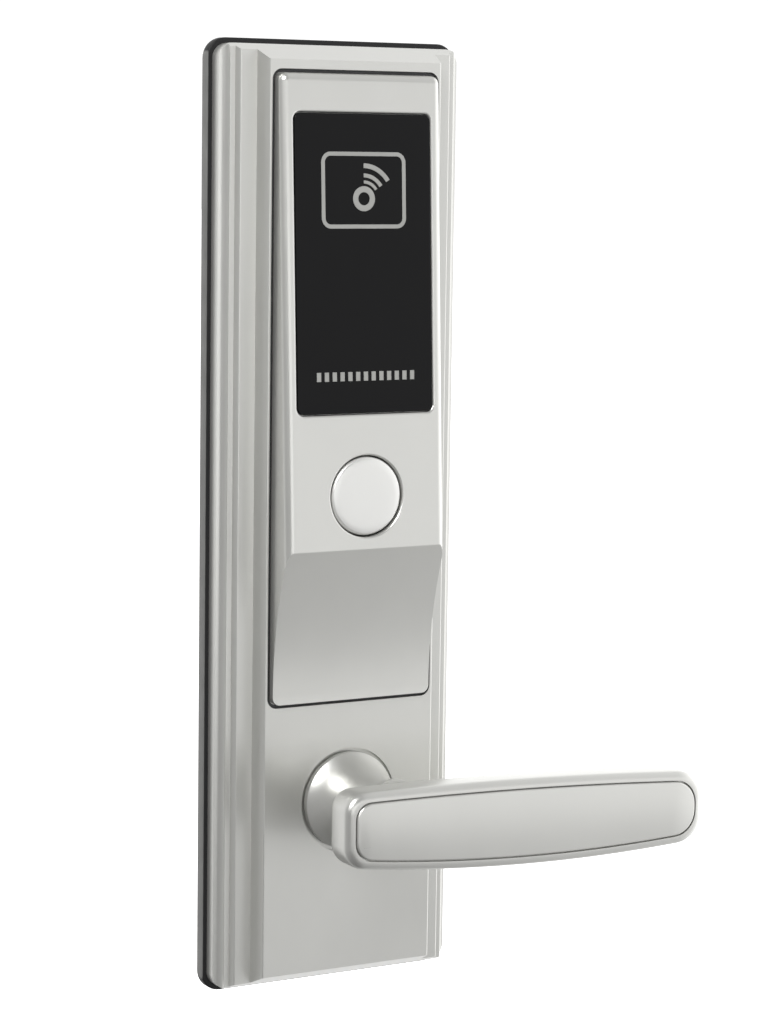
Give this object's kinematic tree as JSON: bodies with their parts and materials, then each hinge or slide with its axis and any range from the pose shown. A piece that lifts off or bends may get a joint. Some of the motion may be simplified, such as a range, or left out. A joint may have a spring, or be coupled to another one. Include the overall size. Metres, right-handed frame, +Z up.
{
  "type": "rfid card reader",
  "caption": "Outside half of a card lock: stepped metal escutcheon with a dark reader window, round key cover and lever.",
  "frame": {"origin": "the lever's and spindle's axis where it crosses the door face", "axes": "+Y goes into the door, so the front faces -Y; +X is to the right seen from the front; +Z is up"},
  "size_m": [0.148, 0.1173, 0.2884],
  "materials": {
    "gasket_rubber": "matte moulded rubber",
    "satin_cast": "satin pearl plating on a casting",
    "satin_panel": "fine satin panel",
    "cap_light": "satin cap",
    "window_black": "polished dark window",
    "print_light": "light print",
    "board_green": "circuit board lacquer",
    "copper": "etched copper",
    "dark_plastic": "moulded",
    "white_plastic": "moulded",
    "clear_lens": "clear lens",
    "zinc_steel": "zinc plated",
    "bright_steel": "drawn can",
    "spring_steel": "spring wire",
    "dark_steel": "blackened",
    "brass_turned": "turned"
  },
  "bodies": {
    "escutcheon": {"antenna_coil": "copper", "back_gasket": "gasket_rubber", "back_plate": "zinc_steel", "back_plate_screws": "zinc_steel", "board_screws": "zinc_steel", "board_socket": "white_plastic", "buzzer": "dark_plastic", "cable_grommet": "gasket_rubber", "cap_friction_ring": "gasket_rubber", "card_symbol": "print_light", "clutch_motor": "bright_steel", "controller_chip": "dark_plastic", "cylinder_body": "brass_turned", "driver_keeper": "zinc_steel", "escutcheon_plate": "satin_cast", "fixing_posts": "zinc_steel", "housing_screws": "zinc_steel", "indicator_bars": "print_light", "indicator_leds": "clear_lens", "keeper_screws": "zinc_steel", "motor_cradle": "dark_plastic", "motor_strap": "zinc_steel", "neck_bush": "dark_plastic", "outlet_socket": "white_plastic", "reader_board": "board_green", "reader_housing": "satin_cast", "reader_window": "window_black", "return_spring": "spring_steel", "ribbon_cable": "white_plastic", "stop_pins": "zinc_steel", "window_seal": "gasket_rubber", "yoke_guide_pins": "zinc_steel"},
    "lever": {"lever_body": "satin_cast", "lever_inlay": "satin_panel", "lever_sleeve": "zinc_steel", "stop_ring": "zinc_steel", "lever_grub_screw": "dark_steel"},
    "clutch_pin": {"clutch_pin": "spring_steel"},
    "spindle": {"spindle_driver": "brass_turned", "spindle_bar": "zinc_steel"},
    "motor_screw": {"clutch_screw": "brass_turned"},
    "yoke": {"clutch_yoke": "zinc_steel"},
    "key_plug": {"cylinder_plug": "brass_turned", "cylinder_tailpiece": "zinc_steel", "cylinder_clip": "spring_steel"},
    "cap": {"key_cover_cap": "cap_light"}
  },
  "joints": [
    {"name": "lever_turn", "type": "hinge", "parent": "escutcheon", "child": "lever", "pos_m": [0, 0, 0], "axis": [0, 1, 0], "range_deg": [0, 50], "stiffness_Nm_per_rad": 1.2, "springref_deg": -34.38, "deforming": ["return_spring"]},
    {"name": "clutch_pin_slide", "type": "slide", "parent": "lever", "child": "clutch_pin", "axis": [0, 0, -1], "range_m": [0, 0.0024]},
    {"name": "spindle_turn", "type": "hinge", "parent": "escutcheon", "child": "spindle", "pos_m": [0, 0, 0], "axis": [0, 1, 0], "range_deg": [0, 50]},
    {"name": "motor_screw_turn", "type": "hinge", "parent": "escutcheon", "child": "motor_screw", "pos_m": [0, -0.0096, 0.03], "axis": [0, 0, 1], "range_deg": [0, 1080]},
    {"name": "yoke_slide", "type": "slide", "parent": "escutcheon", "child": "yoke", "axis": [0, 0, -1], "range_m": [0, 0.0024]},
    {"name": "key_turn", "type": "hinge", "parent": "escutcheon", "child": "key_plug", "pos_m": [0, 0, 0.0944], "axis": [0, 1, 0], "range_deg": [-90, 90]},
    {"name": "cap_pull", "type": "slide", "parent": "escutcheon", "child": "cap", "axis": [0, -1, 0], "range_m": [0, 0.012]}
  ],
  "couplings": [
    {"joint": "spindle_turn", "follows": "lever_turn", "ratio": 1},
    {"joint": "motor_screw_turn", "follows": "yoke_slide", "rad_per_m": 7854},
    {"joint": "clutch_pin_slide", "follows": "yoke_slide", "ratio": 1}
  ]
}
